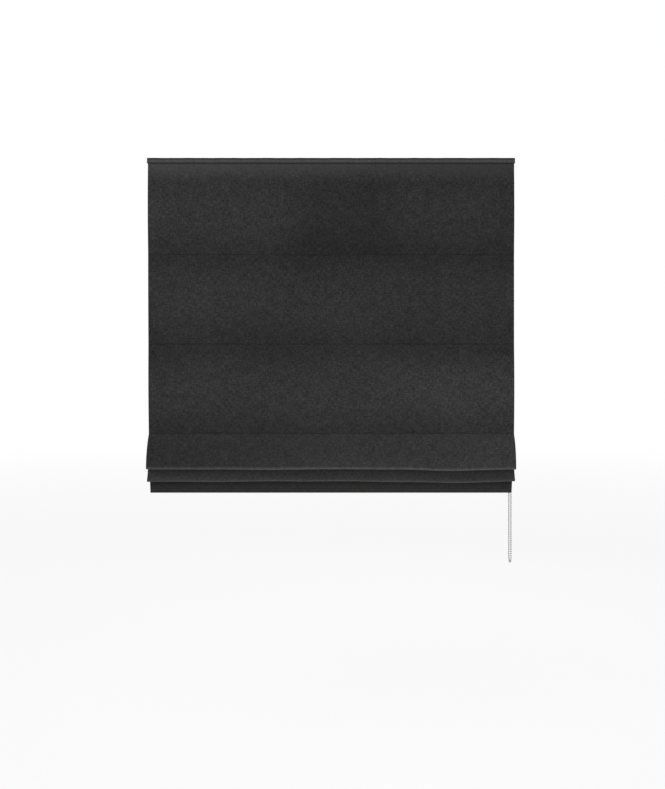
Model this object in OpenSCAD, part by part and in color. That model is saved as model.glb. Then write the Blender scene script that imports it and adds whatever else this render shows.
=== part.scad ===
// Roman blind with a chain drive, held partly raised: a charcoal cloth on a white aluminium headrail.
// Millimetres. The origin is the middle of the screw pattern, on the face the brackets are screwed to.
// +Z is up, -Y is the room side and +X is the side of the chain.

/* [Blind] */
// Width of the cloth
blind_w = 1000; // [700:10:1500]
// Height of the stiff heading, with its rolled top edge
heading_h = 14.5; // [12:0.5:18]
// Gap between the mounting face and the top of the heading
heading_gap = 1; // [0.5:0.5:4.5]
// How far the heading reaches past the cloth at each side
heading_over = 2.5; // [1.5:0.5:6]
// Length of cloth from the heading to the first rod
first_panel = 249.5; // [180:0.5:320]
// Length of cloth from one flat rod to the next
next_panel = 244; // [180:1:320]

/* [Cloth] */
// Thickness of the face cloth
cloth_t = 0.8; // [0.5:0.1:1]
// Thickness of the lining
lining_t = 0.4; // [0.2:0.1:0.6]
// Width of the turned side hems
side_hem_w = 12; // [8:1:20]
// Depth of the stitched groove at each rod
stitch_d = 0.35; // [0.1:0.05:0.4]
// Height of the stitched groove at each rod
stitch_h = 1.8; // [1:0.2:3]
// How far the heading stands proud of the cloth below it
heading_proud = 1.2; // [0.6:0.2:2]

/* [Folds] */
// How far the front fold stands forward of the flat cloth
fold_1_reach = 28; // [20:1:40]
// How far the front fold hangs below the lowest flat rod
fold_1_drop = 97; // [85:1:120]
// Radius of the front fold's crease
fold_1_r = 5; // [4:0.5:7]
// How far the second fold stands forward of the flat cloth
fold_2_reach = 13; // [10:1:16]
// How far the second fold hangs below the front one
fold_2_more = 34; // [28:1:45]
// Radius of the second fold's crease
fold_2_r = 4; // [3:0.5:5]
// How far the bottom flap hangs below the second fold
flap_more = 33; // [28:1:40]
// How far the bottom flap hangs behind the flat cloth
flap_back = 9; // [7:0.5:11]
// How far each side of the flap is drawn in at its bottom
flap_taper = 5; // [0.5:0.5:8]
// Radius of the turn over a gathered rod
turn_r = 1.6; // [1.4:0.1:1.8]
// Height of the bottom hem
hem_h = 37; // [30:1:42]

/* [Rods] */
// Diameter of a stiffening rod
rod_d = 3.6; // [3:0.1:4]
// Wall of the woven rod pocket
pocket_wall = 0.8; // [0.5:0.1:1]
// Distance between the gathered rods
stack_pitch = 13; // [12.5:0.5:15]
// Length of a rod's end cap
rod_cap_l = 8; // [5:1:10]
// Width of a cord ring's clip
ring_clip_w = 5; // [4:0.5:8]
// Height and depth of the wire of a cord ring
ring_wire = 1.4; // [1:0.1:1.6]
// Open diameter of a cord ring
ring_bore = 3.4; // [2.6:0.1:3.8]

/* [Bottom bar] */
// Height of the bottom bar
bar_h = 26; // [18:1:27]
// Thickness of the bottom bar
bar_t = 2.6; // [2:0.1:3]
// Length of the bottom bar's end caps
bar_cap_l = 12; // [8:1:20]

/* [Headrail] */
// Height of the headrail
rail_h = 36; // [35:0.5:46]
// Wall of the headrail
rail_wall = 1.6; // [1.2:0.1:2]
// Radius of the headrail's corners
rail_corner = 1.2; // [0.6:0.1:1.6]
// Width of the headrail's bottom lips
lip_w = 3.5; // [3:0.1:3.8]
// Thickness of the hook tape
hook_tape_t = 1.6; // [1:0.1:2]
// Thickness of the loop tape
loop_tape_t = 1.7; // [1:0.1:2]
// Height of the hook and loop tapes
tape_h = 12; // [8:0.5:20]
// Thickness of the end cap's plate
end_cap_t = 6; // [3:0.5:8]

/* [Brackets] */
// Distance of each bracket from the side of the cloth
bracket_inset = 240; // [180:5:280]
// Length of a bracket along the headrail
bracket_l = 30; // [24:1:50]
// Thickness of the bracket's sheet
bracket_t = 1.2; // [1:0.1:1.3]
// Room for the screw heads under a bracket
screw_room = 3.8; // [3.7:0.1:5]
// Distance between a bracket's two screw holes
screw_pitch = 14; // [11:0.5:15]
// Diameter of a screw hole
screw_hole_d = 4.6; // [3.5:0.1:5.5]

/* [Lift] */
// Diameter of a lift cord
cord_d = 1.2; // [0.8:0.1:1.4]
// Distance of the outer cords from the sides of the cloth
cord_inset = 100; // [80:5:140]
// Diameter of a spool's drum
drum_d = 14.8; // [14.6:0.2:17]
// Diameter of a spool's flanges
flange_d = 22; // [20:0.5:24]
// Length of a spool between its flanges
drum_l = 30; // [26:1:40]
// Turns of cord on each spool
wound_turns = 8; // [4:1:9]
// Diameter of a spool's journals
journal_d = 14; // [12:0.2:14.2]
// Wall of a spool cradle
cradle_wall = 2.4; // [1.6:0.2:3]
// Width across the flats of the drive axle
axle_flats = 6; // [5:0.2:6.4]

/* [Chain drive] */
// Distance between the chain's beads
bead_pitch = 6; // [5.6:0.1:6.4]
// Diameter of a bead
bead_d = 4.5; // [4:0.1:4.8]
// Diameter of the wire between beads
link_d = 1.2; // [0.8:0.1:1.4]
// Pockets in the sprocket
pockets = 14; // [14:2:16]
// Drop of the chain's loop below the axle
chain_drop = 1074; // [720:6:1320]
// Width of the sprocket
sprocket_w = 7.2; // [6.6:0.1:8]
// Wall of the control housing
housing_wall = 1.6; // [1.2:0.1:2.2]
// Thickness of the control cover
cover_t = 2; // [1.5:0.1:3]
// Length of the control housing's clutch room
clutch_l = 17; // [16:0.5:22]
// Diameter of the clutch spring's wire
spring_wire = 1; // [0.8:0.1:1.2]
// Turns of the clutch spring
spring_turns = 9; // [6:1:10]

/* [Hidden] */
$fn = 48;

// Overrun of every cut past the face it opens
over = 1;
// Gap between soft pieces, and between pieces that move past each other
soft_gap = 0.3;
// Play of a piece that slides into another
play = 0.2;
// Radial clearance of a running fit
run_fit = 0.06;
// Flat facets in a turn of cloth, and in a hanging layer
turn_steps = 8;
layer_steps = 12;

// Heights of the heading, the rods and the folds, all below the mounting face
heading_z = -heading_gap - heading_h;
rod_zs = [
    heading_z - first_panel,
    heading_z - first_panel - next_panel,
    heading_z - first_panel - 2 * next_panel,
    heading_z - first_panel - 2 * next_panel - stack_pitch,
    heading_z - first_panel - 2 * next_panel - 2 * stack_pitch
];
gather_z = rod_zs[2];
crease_1_z = gather_z - fold_1_drop;
crease_2_z = crease_1_z - fold_2_more;
bottom_z = crease_2_z - flap_more;

// Depths that don't depend on the headrail, measured back from its front face
seam_back = -hook_tape_t - loop_tape_t - lining_t;
face_back = seam_back - cloth_t;
pocket_r = rod_d / 2 + play + pocket_wall;
rod_back = seam_back + lining_t + soft_gap + pocket_r;
clip_t = 0.9;
ring_r = ring_bore / 2 + ring_wire / 2;
cord_back = rod_back + pocket_r + play + ring_r + ring_wire / 2;
hem_lean = 3.5;
hem_r = bar_t / 2 + soft_gap;
hem_back = face_back + flap_back + 2 * (hem_r + cloth_t) + hem_h * sin(hem_lean);

// Chain and sprocket, set just clear of the gathered cloth
bead_r = bead_d / 2;
sprocket_r = bead_pitch / 2 / sin(180 / pockets);
chain_gap = 0.9;
rim_over = 0.2;
rim_r = sprocket_r + bead_r + rim_over;
chamber_r = rim_r + 2 * play;
axle_back = hem_back + chain_gap + bead_r + sprocket_r;
rail_d = axle_back + chamber_r + housing_wall;

// The same depths in the part's own frame
front_y = -rail_d / 2;
back_y = rail_d / 2;
seam_y = front_y + seam_back;
face_y = front_y + face_back;
rod_y = front_y + rod_back;
cord_y = front_y + cord_back;
axle_y = front_y + axle_back;

// Headrail
rail_top = -bracket_t - screw_room;
rail_bottom = rail_top - rail_h;
axle_z = rail_top - housing_wall - chamber_r;
half_w = blind_w / 2;
bracket_x = half_w - bracket_inset;
cord_x = half_w - cord_inset;
outer_x = half_w + heading_over / 2;
chain_x = outer_x - cover_t - 2 * play - sprocket_w / 2;
chamber_x = chain_x - sprocket_w / 2 - 2 * play;
housing_x = chamber_x - clutch_l;
rail_x0 = -outer_x + end_cap_t;
spigot_l = 10;
hook_rail_share = 0.63;
hook_rail_y = hook_rail_share * back_y;
hook_rail_t = 1.5;
hook_flange_w = 3.4;
hook_flange_t = 1;
flange_top = -bracket_t - soft_gap;
tape_top = rail_top - soft_gap;

// Lift
cord_r = cord_d / 2;
cord_xs = [-cord_x, 0, cord_x];
drum_r = drum_d / 2;
journal_r = journal_d / 2;
flange_t = 1.6;
ear_gap = 0.4;
ear_x = drum_l / 2 + flange_t + ear_gap;
lead_r = drum_r + cord_r + soft_gap;
cradle_floor = rail_bottom + rail_wall;
cradle_half = ear_x + cradle_wall;
eyelet_wall = 0.8;
eyelet_bore_r = cord_r + 2 * soft_gap;
eyelet_h = 4;
eyelet_z = cradle_floor + cradle_wall + eyelet_h;
// The cord runs from the eyelet to the drum's upper front
lead_dy = axle_y - cord_y;
lead_dz = axle_z - eyelet_z;
lead_angle = atan2(lead_dz, lead_dy) + asin(lead_r / norm([lead_dy, lead_dz]));
lead_l = sqrt(lead_dy * lead_dy + lead_dz * lead_dz - lead_r * lead_r);
anchor_l = 12;
anchor_r = ring_r + ring_wire / 2 - clip_t - play;
anchor_top = rod_zs[4] - ring_wire / 2 - play / 2;
cord_end = anchor_top - anchor_l / 2;

// Clutch and axle
post_r = 7;
hub_r = 5;
drive_flats = 8;
sleeve_gap = 0.5;
sleeve_r = post_r + spring_wire + 2 * sleeve_gap;
sleeve_t = 1.2;
clutch_wall = 4;
clutch_room_r = sleeve_r + sleeve_t + 2 * play;
collar_t = 2;
pivot_l = 1.5;
pivot_r = 2.5;
axle_x0 = -cord_x - cradle_half - spigot_l;
axle_x1 = housing_x + clutch_wall;

// Side ends of what is sewn to the lining
lining_half = half_w - side_hem_w - soft_gap;
rod_half = lining_half - rod_cap_l / 2;
pocket_half = rod_half - rod_cap_l;
bar_half = half_w - side_hem_w - flap_taper - bar_cap_l / 2;

// Chain
link_r = link_d / 2;
// Clearance of a bead in its pocket, enough for the next bead to swing out of its own
pocket_gap = 0.6;
bead_bands = 6;
bead_pole = 90 - asin(link_r / bead_r);
strand_beads = round(chain_drop / bead_pitch);
loop_z = axle_z - strand_beads * bead_pitch;
connector_rise = 540;
connector_beads = round(connector_rise / bead_pitch);
connector_wall = 0.7;

// A profile drawn in depth and height, drawn out along the blind from x0 to x1
module along(x0, x1) {
    translate([x0, 0, 0]) rotate([90, 0, 90]) linear_extrude(x1 - x0) children();
}

// A round bar along the blind
module round_bar(x0, x1, y, z, r, sides = $fn) {
    translate([x0, y, z]) rotate([0, 90, 0]) cylinder(h = x1 - x0, r = r, $fn = sides);
}

// A hexagonal bar along the axle, by its width across flats
module hex_bar(x0, x1, flats) {
    round_bar(x0, x1, axle_y, axle_z, flats / sqrt(3), 6);
}

// A revolved profile with its axis on the axle, drawn as radius and distance along the blind
module turned(x) {
    translate([x, axle_y, axle_z]) rotate([0, 90, 0]) rotate_extrude() children();
}

// A rectangle by its corners
module box_2d(y0, y1, z0, z1) {
    translate([y0, z0]) square([y1 - y0, z1 - z0]);
}

// A rectangle by its corners, rounded
module rounded_2d(y0, y1, z0, z1, r) {
    box_2d(y0 + r, y1 - r, z0, z1);
    box_2d(y0, y1, z0 + r, z1 - r);
    for (y = [y0 + r, y1 - r]) for (z = [z0 + r, z1 - r]) translate([y, z]) circle(r);
}

// The outline of the headrail and of what closes its ends
module rail_outline() {
    rounded_2d(front_y, back_y, rail_bottom, rail_top, rail_corner);
}

// Copies of a piece at both ends of the blind
module both_ends() {
    children();
    mirror([1, 0, 0]) children();
}

// A direction pointing down and tilted towards the room by an angle
function lean(a) = [-sin(a), -cos(a)];

// A point on a circle
function on_circle(c, r, a) = c + r * [cos(a), sin(a)];

// Points of a round turn, without its first
function turn(c, r, a0, a1) =
    [for (i = [1:turn_steps]) on_circle(c, r, a0 + (a1 - a0) * i / turn_steps)];

// Points of a smooth curve that leaves p0 along d0 and reaches p1 along d1, without its first
function bend(p0, d0, p1, d1) =
    [for (i = [1:layer_steps]) let(t = i / layer_steps, u = 1 - t)
        u * u * u * p0 + 3 * u * u * t * (p0 + d0) + 3 * u * t * t * (p1 - d1) + t * t * t * p1];

// The side of a cloth's path that its face is on
function face_side(path, i) =
    let(a = path[max(i - 1, 0)], b = path[min(i + 1, len(path) - 1)], t = (b - a) / norm(b - a))
    [t[1], -t[0]];

// A layer of cloth along a path, between two distances towards its face
function layer(path, near, far) = concat(
    [for (i = [0:len(path) - 1]) path[i] + far * face_side(path, i)],
    [for (i = [len(path) - 1:-1:0]) path[i] + near * face_side(path, i)]);

// The gathered cloth's path in depth and height, along the seam of face and lining.
// Each layer leaves and arrives at an angle, with handles that are shares of its height.
seat_h = 2.5;
turn_room = 2 * (turn_r + cloth_t + 3 * soft_gap);
out_1 = atan2(turn_room, stack_pitch - 2 * seat_h);
out_2_more = 14;
out_2 = out_1 + out_2_more;
back_1 = 23;
down_2 = 30;
back_2 = 17;
up_2 = -4;
flap_out = 9;
handle_share = 0.33;
out_2_share = 0.23;
down_2_share = 0.45;
back_2_share = 0.36;
crease_1 = [face_y + cloth_t - fold_1_reach + fold_1_r, crease_1_z + cloth_t + fold_1_r];
crease_2 = [face_y + cloth_t - fold_2_reach + fold_2_r, crease_2_z + cloth_t + fold_2_r];
turn_4 = [seam_y - turn_r, rod_zs[3] + seat_h];
turn_5 = [seam_y - turn_r, rod_zs[4] + seat_h];
fold_1_h = gather_z - crease_1[1];
fold_2_h = rod_zs[3] - crease_2[1];
hem_top = [face_y + cloth_t + flap_back, bottom_z + hem_h];
hem_line = lean(-hem_lean);
hem_behind = [cos(hem_lean), sin(hem_lean)];
gather_path = concat(
    [[seam_y, gather_z - soft_gap], [seam_y, gather_z - seat_h]],
    bend([seam_y, gather_z - seat_h], handle_share * fold_1_h * lean(out_1),
        on_circle(crease_1, fold_1_r, 180), handle_share * fold_1_h * lean(0)),
    turn(crease_1, fold_1_r, 180, 360),
    bend(on_circle(crease_1, fold_1_r, 360), -handle_share * fold_1_h * lean(0),
        on_circle(turn_4, turn_r, 180 - back_1), -handle_share * fold_1_h * lean(back_1)),
    turn(turn_4, turn_r, 180 - back_1, 0),
    [[seam_y, rod_zs[3] - seat_h]],
    bend([seam_y, rod_zs[3] - seat_h], out_2_share * fold_2_h * lean(out_2),
        on_circle(crease_2, fold_2_r, 180 - down_2), down_2_share * fold_2_h * lean(down_2)),
    turn(crease_2, fold_2_r, 180 - down_2, 360 - back_2),
    bend(on_circle(crease_2, fold_2_r, 360 - back_2), -back_2_share * fold_2_h * lean(back_2),
        on_circle(turn_5, turn_r, 180 - up_2), -handle_share * fold_2_h * lean(up_2)),
    turn(turn_5, turn_r, 180 - up_2, 90));
flap_path = concat(
    [on_circle(turn_5, turn_r, 90)],
    turn(turn_5, turn_r, 90, 0),
    [[seam_y, rod_zs[4] - seat_h]],
    bend([seam_y, rod_zs[4] - seat_h], handle_share * fold_1_h * lean(-flap_out),
        hem_top, handle_share * fold_1_h * hem_line));
// The hem runs down the front of the bar, round its lower edge and up its back to the stitching
hem_fall = hem_h - hem_r - cloth_t;
hem_close = 5;
hem_turn = hem_top + hem_fall * hem_line + hem_r * hem_behind;
hem_path = concat(
    flap_path,
    [hem_top + hem_fall * hem_line],
    turn(hem_turn, hem_r, 180 + hem_lean, 360 + hem_lean),
    [hem_top + 2 * hem_close * hem_line + 2 * hem_r * hem_behind,
        hem_top + hem_close * hem_line + (cloth_t + soft_gap) * hem_behind]);

// Headrail: an extruded channel, open below, with two flanged rails on top for the brackets
module headrail() {
    color("whitesmoke") along(rail_x0, housing_x) {
        difference() {
            rail_outline();
            box_2d(front_y + rail_wall, back_y - rail_wall, rail_bottom + rail_wall, rail_top - rail_wall);
            box_2d(front_y + lip_w, back_y - lip_w, rail_bottom - over, rail_bottom + rail_wall + over);
        }
        for (side = [0, 1]) mirror([side, 0]) {
            box_2d(hook_rail_y - hook_rail_t, hook_rail_y, rail_top - rail_wall / 2, flange_top);
            box_2d(hook_rail_y - hook_rail_t, hook_rail_y + hook_flange_w,
                flange_top - hook_flange_t, flange_top);
        }
    }
}

// Bracket: a sheet-metal clip that hooks under both flanges, with two screw holes and a release tab
module bracket(x) {
    hook_z = flange_top - hook_flange_t;
    leg_y = hook_rail_y + hook_flange_w + soft_gap;
    tab_l = 5;
    color("silver") difference() {
        along(x - bracket_l / 2, x + bracket_l / 2) {
            box_2d(-leg_y - bracket_t, leg_y + bracket_t, -bracket_t, 0);
            for (side = [0, 1]) mirror([side, 0]) {
                box_2d(leg_y, leg_y + bracket_t, hook_z - bracket_t, 0);
                box_2d(leg_y - hook_flange_w / 2, leg_y + bracket_t, hook_z - bracket_t, hook_z);
            }
            box_2d(leg_y, leg_y + bracket_t + tab_l, hook_z - bracket_t, hook_z);
        }
        for (y = [-screw_pitch / 2, screw_pitch / 2])
            translate([x, y, -bracket_t - over])
                cylinder(h = bracket_t + 2 * over, d = screw_hole_d);
    }
}

// Hook tape: stuck along the headrail's front
module hook_tape() {
    color("white") along(rail_x0, housing_x)
        box_2d(front_y - hook_tape_t, front_y, tape_top - tape_h, tape_top);
}

// Loop tape: sewn along the back of the heading
module loop_tape() {
    color("white") along(-half_w + side_hem_w, half_w - side_hem_w)
        box_2d(front_y - hook_tape_t - loop_tape_t, front_y - hook_tape_t, tape_top - tape_h, tape_top);
}

// End cap: a plate with a shallow recess outside and a hollow spigot in the headrail's left end
module end_cap() {
    rim_w = 3;
    recess_d = 0.8;
    color("white") {
        difference() {
            along(-outer_x, rail_x0) rail_outline();
            along(-outer_x - over, -outer_x + recess_d)
                rounded_2d(front_y + rim_w, back_y - rim_w,
                    rail_bottom + rim_w, rail_top - rim_w, rail_corner);
        }
        along(rail_x0, rail_x0 + spigot_l) spigot_ring();
    }
}

// The hollow outline that slides into the headrail
module spigot_ring() {
    inset = rail_wall + play;
    wall = 2 * rail_wall;
    difference() {
        box_2d(front_y + inset, back_y - inset, rail_bottom + inset, rail_top - inset);
        box_2d(front_y + inset + wall, back_y - inset - wall,
            rail_bottom + inset + wall, rail_top - inset - wall);
    }
}

// Control housing: the clutch's fixed post, and the chamber the chain runs through
module control_housing() {
    color("white") difference() {
        union() {
            along(housing_x, outer_x - cover_t) rail_outline();
            along(housing_x - spigot_l, housing_x) spigot_ring();
        }
        along(chamber_x, outer_x - cover_t + over) {
            translate([axle_y, axle_z]) circle(chamber_r);
            box_2d(axle_y - chamber_r, axle_y + chamber_r, rail_bottom - over, axle_z);
        }
        turned(housing_x + clutch_wall) difference() {
            square([clutch_room_r, clutch_l]);
            translate([0, -over]) square([post_r, clutch_l + over - play]);
        }
        round_bar(housing_x - over, chamber_x + over, axle_y, axle_z, hub_r);
    }
}

// Control cover: closes the chain's chamber, with a short pivot for the sprocket
module control_cover() {
    rim_share = 0.8;
    groove_d = 0.6;
    color("white") difference() {
        union() {
            along(outer_x - cover_t, outer_x) rail_outline();
            round_bar(outer_x - cover_t - pivot_l, outer_x - cover_t, axle_y, axle_z, pivot_r);
        }
        turned(outer_x - groove_d) translate([rim_share * rim_r, 0]) square([rail_wall, groove_d + over]);
    }
}

// Clutch spring: close turns gripping the housing's post
module clutch_spring() {
    coil_share = 0.95;
    color("dimgray") turned(housing_x + clutch_wall + 2 * spring_wire)
        for (i = [0:spring_turns - 1])
            translate([post_r + run_fit + spring_wire / 2, i * coil_share * spring_wire])
                circle(d = spring_wire);
}

// Chain sprocket: a grooved wheel with a round pocket for each bead, and a sleeve over the clutch spring
module chain_sprocket() {
    floor_r = sprocket_r * cos(180 / pockets) - link_r - soft_gap;
    floor_w = link_r + soft_gap;
    mouth_w = bead_r + soft_gap;
    sleeve_l = clutch_l - clutch_wall - 2 * play;
    color("gainsboro") difference() {
        union() {
            turned(chain_x) polygon([
                [0, -sprocket_w / 2], [rim_r, -sprocket_w / 2], [rim_r, -mouth_w], [floor_r, -floor_w],
                [floor_r, floor_w], [rim_r, mouth_w], [rim_r, sprocket_w / 2], [0, sprocket_w / 2]]);
            turned(chain_x - sprocket_w / 2 - sleeve_l)
                translate([sleeve_r, 0]) square([sleeve_t, sleeve_l + over]);
        }
        for (i = [0:pockets - 1])
            translate([chain_x, axle_y, axle_z]) rotate([i * 360 / pockets, 0, 0])
                translate([0, sprocket_r, 0]) sphere(bead_r + pocket_gap);
        hex_bar(chain_x - sprocket_w, chain_x + sprocket_w, drive_flats + play);
    }
}

// Output hub: turns in the post, carries the sprocket on one end and holds the axle in the other
module output_hub() {
    boss_x = chain_x - sprocket_w / 2 - play;
    socket_l = axle_x1 - housing_x + collar_t;
    color("lightgray") difference() {
        union() {
            round_bar(housing_x - collar_t - play, housing_x - play, axle_y, axle_z, hub_r + collar_t);
            round_bar(housing_x - collar_t, boss_x, axle_y, axle_z, hub_r - run_fit);
            hex_bar(boss_x - over, outer_x - cover_t - pivot_l - play, drive_flats);
        }
        hex_bar(housing_x - collar_t - over, axle_x1 + play, axle_flats + play);
    }
}

// Drive axle: a hexagonal bar through all the spools
module drive_axle() {
    color("silver") hex_bar(axle_x0, axle_x1, axle_flats);
}

// Spool cradle: sits on the headrail's lips, with two braced bearing ears and an eyelet for the cord
module spool_cradle(i) {
    x = cord_xs[i];
    ear_r = journal_r + cradle_wall;
    inset = rail_wall + play;
    brace_l = 6;
    brace_h = 7;
    brace_dy = 5;
    color("white") difference() {
        union() {
            along(x - cradle_half - brace_l, x + cradle_half + brace_l)
                box_2d(front_y + inset, back_y - inset, cradle_floor, cradle_floor + cradle_wall);
            for (side = [0, 1]) for (y = [axle_y - brace_dy, axle_y + brace_dy])
                translate([x, y + cradle_wall / 2, cradle_floor + cradle_wall]) mirror([side, 0, 0])
                    rotate([90, 0, 0]) linear_extrude(cradle_wall) polygon([
                        [cradle_half - cradle_wall, -cradle_wall], [cradle_half + brace_l, -cradle_wall],
                        [cradle_half + brace_l, 0], [cradle_half, brace_h],
                        [cradle_half - cradle_wall, brace_h]]);
            for (side = [-1, 1]) along(x + side * (ear_x + cradle_wall / 2) - cradle_wall / 2,
                    x + side * (ear_x + cradle_wall / 2) + cradle_wall / 2) {
                translate([axle_y, axle_z]) circle(ear_r);
                box_2d(axle_y - ear_r, axle_y + ear_r, cradle_floor, axle_z);
            }
            translate([x, cord_y, rail_bottom - rail_wall])
                cylinder(h = eyelet_z - rail_bottom + rail_wall, r = eyelet_bore_r + eyelet_wall);
        }
        round_bar(x - cradle_half - over, x + cradle_half + over, axle_y, axle_z, journal_r + run_fit);
        translate([x, cord_y, rail_bottom - rail_wall - over])
            cylinder(h = rail_h, r = eyelet_bore_r);
    }
}

// Cord spool: a flanged drum on the axle that runs in its cradle's ears
module cord_spool(i) {
    x = cord_xs[i];
    color("gainsboro") difference() {
        union() {
            round_bar(x - cradle_half, x + cradle_half, axle_y, axle_z, journal_r);
            round_bar(x - drum_l / 2 - over, x + drum_l / 2 + over, axle_y, axle_z, drum_r);
            for (side = [-1, 1]) {
                end_x = x + side * (drum_l + flange_t) / 2;
                round_bar(end_x - flange_t / 2, end_x + flange_t / 2, axle_y, axle_z, flange_d / 2);
            }
        }
        hex_bar(x - cradle_half - over, x + cradle_half + over, axle_flats + play);
    }
}

// Cord winding: the turns of lift cord on a spool
module cord_winding(i) {
    turn_over = 0.05;
    color("white") turned(cord_xs[i] - cord_d - soft_gap)
        for (k = [0:wound_turns - 1])
            translate([drum_r + cord_r + 2 * turn_over, -k * cord_d]) circle(cord_r + turn_over);
}

// Lift cord: from the drum through the eyelet and every ring, down to its anchor
module lift_cord(i) {
    x = cord_xs[i];
    color("white") {
        translate([x, cord_y, cord_end]) cylinder(h = eyelet_z - cord_end, r = cord_r);
        translate([x, cord_y, eyelet_z]) sphere(cord_r);
        translate([x, cord_y, eyelet_z]) rotate([lead_angle - 90, 0, 0]) cylinder(h = lead_l, r = cord_r);
    }
}

// Half the outline of a string of beads on its wire, along its length
function beads_outline(n) = concat(
    [[0, 0], [link_r, 0]],
    [for (i = [1:n - 1]) for (k = [0:bead_bands]) let(a = bead_pole * (2 * k / bead_bands - 1))
        [bead_r * cos(a), i * bead_pitch + bead_r * sin(a)]],
    [[link_r, n * bead_pitch], [0, n * bead_pitch]]);

// One bead of the chain
module bead() {
    rotate_extrude() polygon([for (k = [0:bead_bands]) let(a = bead_pole * (2 * k / bead_bands - 1))
        [bead_r * cos(a) * sign(bead_bands - k) * sign(k), bead_r * sin(a)]]);
}

// Half a turn of the chain, over the sprocket or round the bottom of the loop
module chain_turn() {
    rotate([90, 0, 90]) rotate_extrude(angle = 180) translate([sprocket_r, 0]) circle(link_r);
    for (i = [0:pockets / 2]) rotate([i * 360 / pockets, 0, 0]) translate([0, sprocket_r, 0]) bead();
}

// Control chain: an endless loop of beads over the sprocket
module control_chain() {
    color("lightgray") {
        translate([chain_x, axle_y, axle_z]) chain_turn();
        translate([chain_x, axle_y, loop_z]) mirror([0, 0, 1]) chain_turn();
        for (y = [axle_y - sprocket_r, axle_y + sprocket_r])
            translate([chain_x, y, loop_z]) rotate_extrude() polygon(beads_outline(strand_beads));
    }
}

// Chain connector: a split sleeve that closes over the chain's two end beads
module chain_connector() {
    inner_r = bead_r + play;
    length = bead_pitch + bead_d + 2 * connector_wall;
    z = loop_z + connector_beads * bead_pitch + (bead_pitch - length) / 2;
    color("lightgray") translate([chain_x, axle_y + sprocket_r, z]) difference() {
        cylinder(h = length, r = inner_r + connector_wall);
        translate([0, 0, connector_wall]) cylinder(h = length - 2 * connector_wall, r = inner_r);
        translate([0, 0, -over]) cylinder(h = length + 2 * over, r = link_r + play);
        translate([0, -link_r - play, -over]) cube([bead_d, link_d + 2 * play, length + 2 * over]);
    }
}

// Fabric heading: the stiffened band along the top of the cloth, with a rolled edge above a groove
module fabric_heading() {
    round_r = heading_proud / 2;
    front = face_y - heading_proud;
    back = seam_y + lining_t;
    roll_r = (back - front) / 2;
    roll_z = -heading_gap - roll_r;
    groove_h = 0.8;
    groove_d = 0.8;
    band_top = roll_z - roll_r - groove_h;
    color("dimgray") along(-half_w - heading_over, half_w + heading_over) {
        box_2d(front, back, heading_z, band_top - round_r);
        box_2d(front + round_r, back, heading_z, band_top);
        translate([front + round_r, band_top - round_r]) circle(round_r);
        box_2d(front + groove_d, back - groove_d, band_top - round_r, roll_z);
        translate([front + roll_r, roll_z]) circle(roll_r);
    }
}

// A sheet of cloth along a path: the face at full width, and hems turned in at both sides
module cloth(face_path, side_path) {
    along(-half_w, half_w) polygon(layer(face_path, 0, cloth_t));
    both_ends() along(half_w - side_hem_w, half_w) polygon(layer(side_path, -cloth_t, 0));
}

// Fabric panel: the flat cloth from the heading to the lowest flat rod, grooved where the rods are sewn on
module fabric_panel() {
    path = [[seam_y, heading_z], [seam_y, gather_z]];
    color("dimgray") difference() {
        cloth(path, path);
        for (i = [0, 1]) along(-half_w - over, half_w + over) translate([face_y, rod_zs[i]])
            polygon([[0, -stitch_h / 2], [stitch_d, 0], [0, stitch_h / 2], [-over, stitch_h / 2],
                [-over, -stitch_h / 2]]);
    }
}

// Lining panel: the lining behind the flat cloth, between the side hems
module lining_panel() {
    color("ivory") along(-lining_half, lining_half)
        box_2d(seam_y, seam_y + lining_t, gather_z, heading_z);
}

// Fabric folds: the gathered cloth, from the lowest flat rod through two folds to the hemmed flap
module fabric_folds() {
    color("dimgray") {
        cloth(gather_path, gather_path);
        difference() {
            cloth(hem_path, flap_path);
            both_ends() translate([0, back_y, 0]) rotate([90, 0, 0]) linear_extrude(2 * rail_d)
                polygon([[half_w, rod_zs[4]], [half_w - flap_taper, bottom_z - over],
                    [half_w + over, bottom_z - over], [half_w + over, rod_zs[4]]]);
        }
    }
}

// Lining folds: the lining of the gathered cloth, which ends at the top of the hem
module lining_folds() {
    color("ivory") along(-lining_half + flap_taper, lining_half - flap_taper)
        polygon(layer(concat(gather_path, [for (i = [1:len(flap_path) - 1]) flap_path[i]]), -lining_t, 0));
}

// Rod: a glass-fibre rod that keeps the cloth straight across
module rod(i) {
    color("ivory") round_bar(-rod_half, rod_half, rod_y, rod_zs[i], rod_d / 2);
}

// Rod pocket: a woven tube sewn to the lining, flat where it is sewn
module rod_pocket(i) {
    color("white") along(-pocket_half, pocket_half) translate([rod_y, rod_zs[i]]) difference() {
        union() {
            circle(pocket_r);
            box_2d(-pocket_r, 0, -pocket_r / 2, pocket_r / 2);
        }
        circle(rod_d / 2 + play);
    }
}

// Rod caps: a cap on each end of a rod
module rod_caps(i) {
    cap_end = rod_half + rod_cap_l / 2;
    color("white") both_ends() difference() {
        round_bar(cap_end - rod_cap_l, cap_end, rod_y, rod_zs[i], pocket_r - play);
        round_bar(cap_end - rod_cap_l - over, rod_half + play, rod_y, rod_zs[i], rod_d / 2 + play);
    }
}

// Cord rings: clips behind a rod pocket, each with a ring that a lift cord runs through
module cord_rings(i) {
    inner_r = pocket_r + play;
    color("white") for (x = cord_xs) translate([x, 0, rod_zs[i]]) {
        along(-ring_clip_w / 2, ring_clip_w / 2) translate([rod_y, 0]) difference() {
            circle(inner_r + clip_t);
            circle(inner_r);
            box_2d(-2 * pocket_r, pocket_r / 2, -2 * pocket_r, 2 * pocket_r);
        }
        translate([0, cord_y, 0]) rotate_extrude() translate([ring_r, 0]) circle(d = ring_wire);
    }
}

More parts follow.
